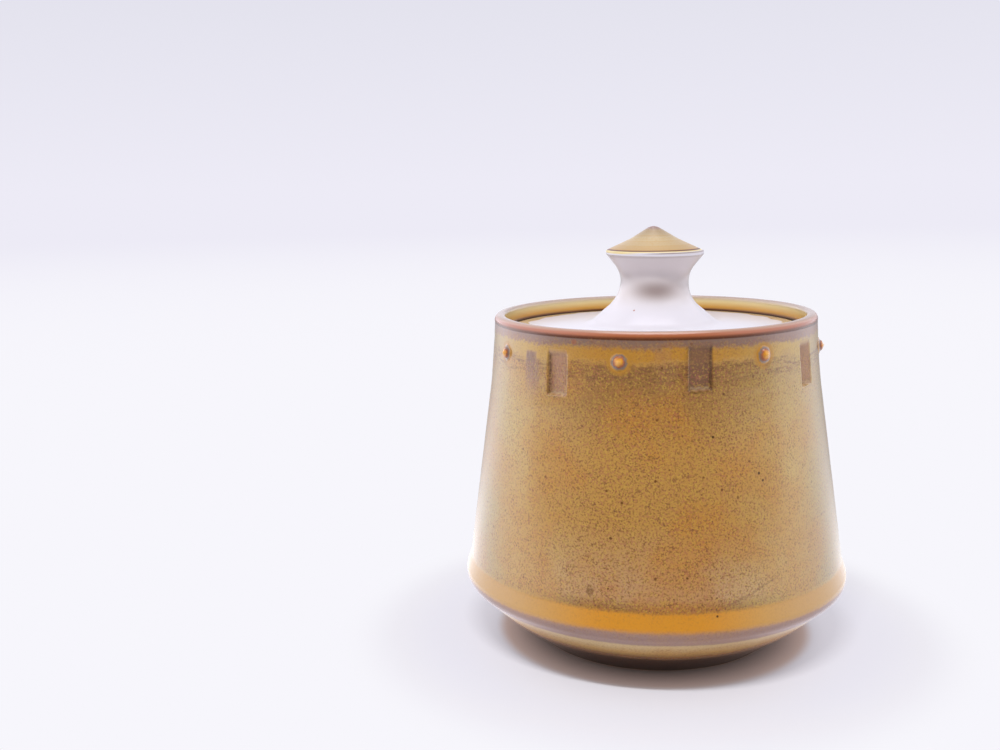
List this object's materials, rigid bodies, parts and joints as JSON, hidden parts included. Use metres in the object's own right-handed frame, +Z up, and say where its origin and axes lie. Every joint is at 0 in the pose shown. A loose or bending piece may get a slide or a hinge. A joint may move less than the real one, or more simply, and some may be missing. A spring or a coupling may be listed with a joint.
{
  "type": "stoneware sugar jar",
  "caption": "Small round glazed stoneware jar with a lift-off lid sunk in its rim and a waisted knob, for keeping sugar, with pressed marks and clay pellets round the neck.",
  "frame": {"origin": "centre of the standing ring, on the surface that the jar stands on", "axes": "+Z up along the axis that the jar and lid are turned about, -Y towards the front of the jar in the picture, +X to its right"},
  "size_m": [0.11, 0.11, 0.1178],
  "materials": {
    "mustard_glaze": "speckled mustard stoneware glaze, glossy",
    "orange_glaze": "thin orange glaze over raised clay, glossy",
    "white_glaze": "lilac-white glaze, glossy",
    "straw_glaze": "straw-coloured glaze with a mauve blush at the tip, glossy"
  },
  "bodies": {
    "jar": {"jar_body": "mustard_glaze", "clay_pellet_1": "orange_glaze", "clay_pellet_2": "orange_glaze", "clay_pellet_3": "orange_glaze", "clay_pellet_4": "orange_glaze", "clay_pellet_5": "orange_glaze", "clay_pellet_6": "orange_glaze", "clay_pellet_7": "orange_glaze", "clay_pellet_8": "orange_glaze"},
    "lid": {"lid": "white_glaze", "knob": "straw_glaze"}
  },
  "joints": [
    {"name": "lid_lift", "type": "slide", "parent": "jar", "child": "lid", "axis": [0, 0, 1], "range_m": [0, 0.06]}
  ]
}
